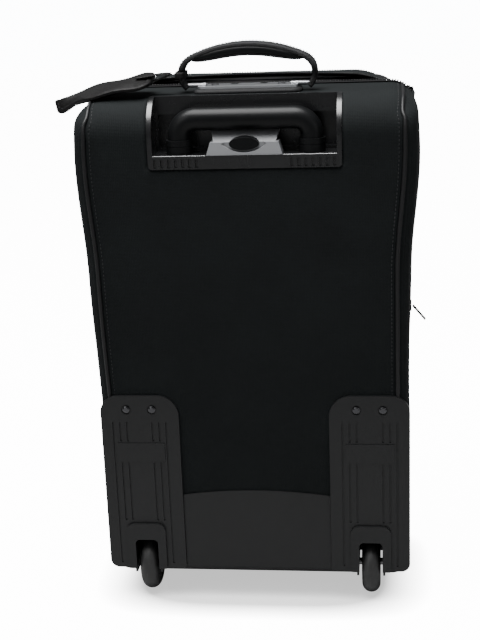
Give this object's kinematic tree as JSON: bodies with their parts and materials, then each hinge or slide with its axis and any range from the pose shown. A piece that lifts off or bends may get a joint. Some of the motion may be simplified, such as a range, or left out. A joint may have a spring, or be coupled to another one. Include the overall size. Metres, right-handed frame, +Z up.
{
  "type": "softside upright suitcase",
  "caption": "Upright softside suitcase with a telescopic pull handle, in-line wheels, a zipped lid with pockets, an expansion bellows, a carry handle and a luggage tag.",
  "frame": {"origin": "on the floor, on the centre plane, below the middle of the closed case's depth", "axes": "+Z up, -Y the side with the wheels and the pull handle, +Y the zipped lid, +X the expansion slider's side"},
  "size_m": [0.4044, 0.23, 0.625],
  "materials": {
    "shell_fabric": "fine ballistic weave, matt",
    "base_fabric": "coated fabric, matt",
    "trim_fabric": "ribbed webbing, matt",
    "piping": "satin",
    "zip": "coil zip tape, matt",
    "lining": "thin woven lining",
    "gloss_plastic": "glossy moulding",
    "housing_plastic": "satin moulding, scuffed",
    "tube_aluminium": "drawn, satin",
    "plate_metal": "satin grey",
    "fastener_steel": "zinc plated",
    "slider_metal": "black enamel",
    "tyre": "smooth urethane, worn",
    "hub": "satin",
    "leather": "smooth, slightly shiny"
  },
  "bodies": {
    "case": {"back_wrap": "shell_fabric", "side_panel_left": "shell_fabric", "side_panel_right": "shell_fabric", "bottom_panel": "base_fabric", "edge_piping": "piping", "kick_plate": "housing_plastic", "handle_pan": "gloss_plastic", "latch_cover": "gloss_plastic", "outer_tube_left": "tube_aluminium", "outer_tube_right": "tube_aluminium", "tube_foot_bracket": "housing_plastic", "wheel_housing_left": "housing_plastic", "wheel_housing_right": "housing_plastic", "wheel_insert_left": "housing_plastic", "wheel_insert_right": "housing_plastic", "housing_screws": "fastener_steel", "axle_left": "fastener_steel", "axle_right": "fastener_steel", "carry_handle_base": "trim_fabric", "carry_handle_plate": "plate_metal", "carry_plate_screws": "fastener_steel", "expansion_chain_back": "zip", "expansion_bellows": "trim_fabric", "body_lining": "lining", "tube_cover": "lining", "packing_straps": "trim_fabric", "strap_buckles": "housing_plastic", "side_handle": "trim_fabric", "side_handle_anchors": "housing_plastic", "button_spring": "fastener_steel"},
    "front_section": {"front_band": "shell_fabric", "frame_hoop": "plate_metal", "expansion_chain_front": "zip", "main_chain_frame": "zip", "front_feet": "housing_plastic"},
    "lid": {"lid_panel": "shell_fabric", "main_chain_lid": "zip", "upper_pocket": "shell_fabric", "lower_pocket": "shell_fabric", "pocket_chains": "zip", "lid_lining": "lining"},
    "handle_mid": {"mid_tube_left": "tube_aluminium", "mid_tube_right": "tube_aluminium", "mid_collars": "gloss_plastic"},
    "handle_grip": {"inner_tube_left": "tube_aluminium", "inner_tube_right": "tube_aluminium", "pull_grip": "gloss_plastic"},
    "release_button": {"release_button": "gloss_plastic"},
    "wheel_left": {"tyre_left": "tyre", "hub_bearings_left": "hub"},
    "wheel_right": {"tyre_right": "tyre", "hub_bearings_right": "hub"},
    "carry_handle": {"carry_strap": "trim_fabric", "tag_loop": "leather"},
    "luggage_tag": {"luggage_tag": "leather", "tag_strap": "leather"},
    "expansion_slider": {"expansion_slider": "slider_metal"},
    "expansion_pull": {"expansion_pull": "housing_plastic"},
    "main_slider": {"main_slider": "slider_metal"},
    "main_pull": {"main_pull": "housing_plastic"}
  },
  "joints": [
    {"name": "expansion_slide", "type": "slide", "parent": "case", "child": "front_section", "axis": [0, 1, 0], "range_m": [0, 0.045], "deforming": ["expansion_bellows"]},
    {"name": "lid_hinge", "type": "hinge", "parent": "front_section", "child": "lid", "pos_m": [0.169, 0.0769, 0.3], "axis": [0, 0, -1], "range_deg": [0, 150]},
    {"name": "pull_stage_one", "type": "slide", "parent": "case", "child": "handle_mid", "axis": [0, 0, 1], "range_m": [0, 0.225]},
    {"name": "pull_stage_two", "type": "slide", "parent": "handle_mid", "child": "handle_grip", "axis": [0, 0, 1], "range_m": [0, 0.225]},
    {"name": "button_press", "type": "slide", "parent": "case", "child": "release_button", "axis": [0, 1, 0], "range_m": [0, 0.0035], "stiffness_N_per_m": 400, "springref_m": -0.001, "deforming": ["button_spring"]},
    {"name": "wheel_spin_left", "type": "hinge", "parent": "case", "child": "wheel_left", "pos_m": [-0.128, -0.09, 0.035], "axis": [1, 0, 0], "continuous": true},
    {"name": "wheel_spin_right", "type": "hinge", "parent": "case", "child": "wheel_right", "pos_m": [0.128, -0.09, 0.035], "axis": [1, 0, 0], "continuous": true},
    {"name": "carry_handle_lean", "type": "hinge", "parent": "case", "child": "carry_handle", "pos_m": [0, -0.047, 0.58], "axis": [1, 0, 0], "range_deg": [-25, 25]},
    {"name": "tag_lift", "type": "hinge", "parent": "case", "child": "luggage_tag", "pos_m": [-0.091, -0.06, 0.591], "axis": [0, 1, 0], "range_deg": [0, 60]},
    {"name": "expansion_slider_run", "type": "slide", "parent": "case", "child": "expansion_slider", "axis": [0, 0, 1], "range_m": [-0.2, 0.06]},
    {"name": "expansion_pull_swing", "type": "hinge", "parent": "expansion_slider", "child": "expansion_pull", "pos_m": [0.1772, 0.0117, 0.313], "axis": [0, -1, 0], "range_deg": [-35, 60]},
    {"name": "main_slider_run", "type": "slide", "parent": "front_section", "child": "main_slider", "axis": [0, 0, 1], "range_m": [-0.38, 0]},
    {"name": "main_pull_swing", "type": "hinge", "parent": "main_slider", "child": "main_pull", "pos_m": [-0.175, 0.075, 0.516], "axis": [0, 1, 0], "range_deg": [0, 90]}
  ]
}
